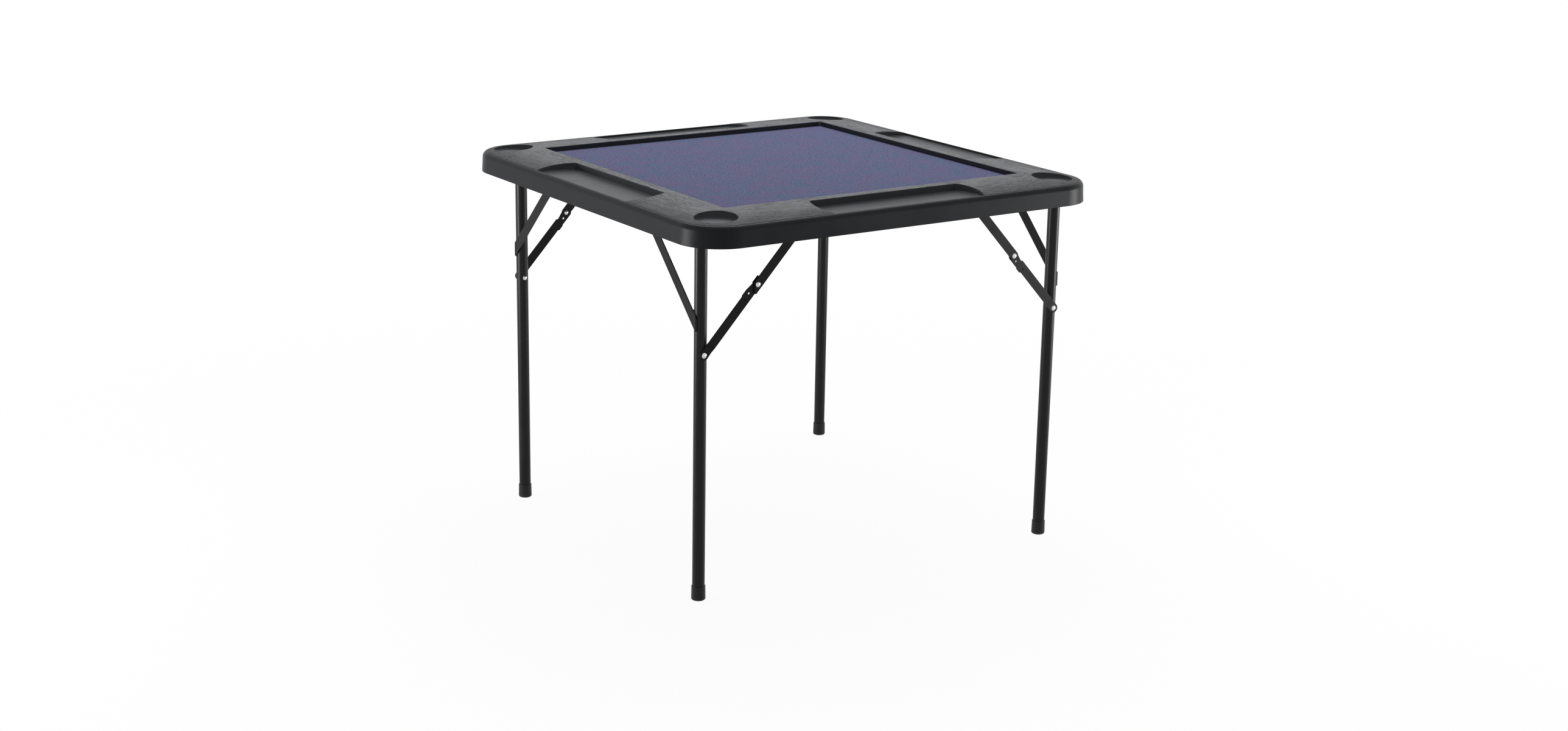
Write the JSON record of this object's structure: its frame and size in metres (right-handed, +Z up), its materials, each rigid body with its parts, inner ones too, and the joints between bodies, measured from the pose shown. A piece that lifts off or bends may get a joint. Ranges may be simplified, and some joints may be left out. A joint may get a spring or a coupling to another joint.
{
  "type": "folding card table",
  "caption": "Square folding card table with a recessed felt field, corner cup holders, side chip trays and folding tubular legs with jointed braces.",
  "frame": {"origin": "on the floor, under the middle of the top", "axes": "+Z up, +X along the front side toward the right leg frame, the front is toward -Y"},
  "size_m": [0.884, 0.884, 0.7166],
  "materials": {
    "border_plastic": "satin black-grey moulding, embossed grain on its upper face",
    "board_wood": "plain hardboard",
    "felt": "blue-purple mottled felt",
    "black_steel": "black powder coat, satin",
    "rivet_steel": "bright zinc plate",
    "cap_plastic": "black moulding"
  },
  "bodies": {
    "top": {"moulded_border": "border_plastic", "playing_board": "board_wood", "felt_surface": "felt", "front_side_rail": "black_steel", "rear_side_rail": "black_steel", "rail_screws": "rivet_steel", "brace_rail_rivets": "rivet_steel"},
    "left_leg_frame": {"left_cross_tube": "black_steel", "left_pivot_pins": "rivet_steel", "left_leg_rivets": "rivet_steel", "left_front_leg": "black_steel", "left_front_foot_cap": "cap_plastic", "left_front_gusset": "black_steel", "left_rear_leg": "black_steel", "left_rear_foot_cap": "cap_plastic", "left_rear_gusset": "black_steel"},
    "left_front_upper_link": {"left_front_upper_brace": "black_steel", "left_front_knee_rivet_head": "rivet_steel"},
    "left_front_lower_link": {"left_front_lower_brace": "black_steel", "left_front_knee_rivet_tail": "rivet_steel"},
    "left_rear_upper_link": {"left_rear_upper_brace": "black_steel", "left_rear_knee_rivet_head": "rivet_steel"},
    "left_rear_lower_link": {"left_rear_lower_brace": "black_steel", "left_rear_knee_rivet_tail": "rivet_steel"},
    "right_leg_frame": {"right_cross_tube": "black_steel", "right_pivot_pins": "rivet_steel", "right_leg_rivets": "rivet_steel", "right_front_leg": "black_steel", "right_front_foot_cap": "cap_plastic", "right_front_gusset": "black_steel", "right_rear_leg": "black_steel", "right_rear_foot_cap": "cap_plastic", "right_rear_gusset": "black_steel"},
    "right_front_upper_link": {"right_front_upper_brace": "black_steel", "right_front_knee_rivet_head": "rivet_steel"},
    "right_front_lower_link": {"right_front_lower_brace": "black_steel", "right_front_knee_rivet_tail": "rivet_steel"},
    "right_rear_upper_link": {"right_rear_upper_brace": "black_steel", "right_rear_knee_rivet_head": "rivet_steel"},
    "right_rear_lower_link": {"right_rear_lower_brace": "black_steel", "right_rear_knee_rivet_tail": "rivet_steel"}
  },
  "joints": [
    {"name": "left_frame_fold", "type": "hinge", "parent": "top", "child": "left_leg_frame", "pos_m": [-0.38, 0, 0.682], "axis": [0, -1, 0], "range_deg": [0, 90]},
    {"name": "left_front_rail_pivot", "type": "hinge", "parent": "top", "child": "left_front_upper_link", "pos_m": [-0.1745, -0.3355, 0.682], "axis": [0, -1, 0], "range_deg": [-47.16, 0]},
    {"name": "left_front_leg_pivot", "type": "hinge", "parent": "left_leg_frame", "child": "left_front_lower_link", "pos_m": [-0.38, -0.3355, 0.4605], "axis": [0, -1, 0], "range_deg": [0, 42.86]},
    {"name": "left_rear_rail_pivot", "type": "hinge", "parent": "top", "child": "left_rear_upper_link", "pos_m": [-0.1745, 0.3355, 0.682], "axis": [0, -1, 0], "range_deg": [-47.16, 0]},
    {"name": "left_rear_leg_pivot", "type": "hinge", "parent": "left_leg_frame", "child": "left_rear_lower_link", "pos_m": [-0.38, 0.3355, 0.4605], "axis": [0, -1, 0], "range_deg": [0, 42.86]},
    {"name": "right_frame_fold", "type": "hinge", "parent": "top", "child": "right_leg_frame", "pos_m": [0.38, 0, 0.679], "axis": [0, 1, 0], "range_deg": [0, 90]},
    {"name": "right_front_rail_pivot", "type": "hinge", "parent": "top", "child": "right_front_upper_link", "pos_m": [0.1775, -0.38, 0.679], "axis": [0, 1, 0], "range_deg": [-47.19, 0]},
    {"name": "right_front_leg_pivot", "type": "hinge", "parent": "right_leg_frame", "child": "right_front_lower_link", "pos_m": [0.38, -0.38, 0.4605], "axis": [0, 1, 0], "range_deg": [0, 42.83]},
    {"name": "right_rear_rail_pivot", "type": "hinge", "parent": "top", "child": "right_rear_upper_link", "pos_m": [0.1775, 0.38, 0.679], "axis": [0, 1, 0], "range_deg": [-47.19, 0]},
    {"name": "right_rear_leg_pivot", "type": "hinge", "parent": "right_leg_frame", "child": "right_rear_lower_link", "pos_m": [0.38, 0.38, 0.4605], "axis": [0, 1, 0], "range_deg": [0, 42.83]}
  ],
  "couplings": [
    {"joint": "left_front_rail_pivot", "follows": "left_frame_fold", "ratio": -0.52384},
    {"joint": "left_front_leg_pivot", "follows": "left_frame_fold", "ratio": 0.47616},
    {"joint": "left_rear_rail_pivot", "follows": "left_frame_fold", "ratio": -0.52384},
    {"joint": "left_rear_leg_pivot", "follows": "left_frame_fold", "ratio": 0.47616},
    {"joint": "right_front_rail_pivot", "follows": "right_frame_fold", "ratio": -0.52418},
    {"joint": "right_front_leg_pivot", "follows": "right_frame_fold", "ratio": 0.47582},
    {"joint": "right_rear_rail_pivot", "follows": "right_frame_fold", "ratio": -0.52418},
    {"joint": "right_rear_leg_pivot", "follows": "right_frame_fold", "ratio": 0.47582}
  ]
}
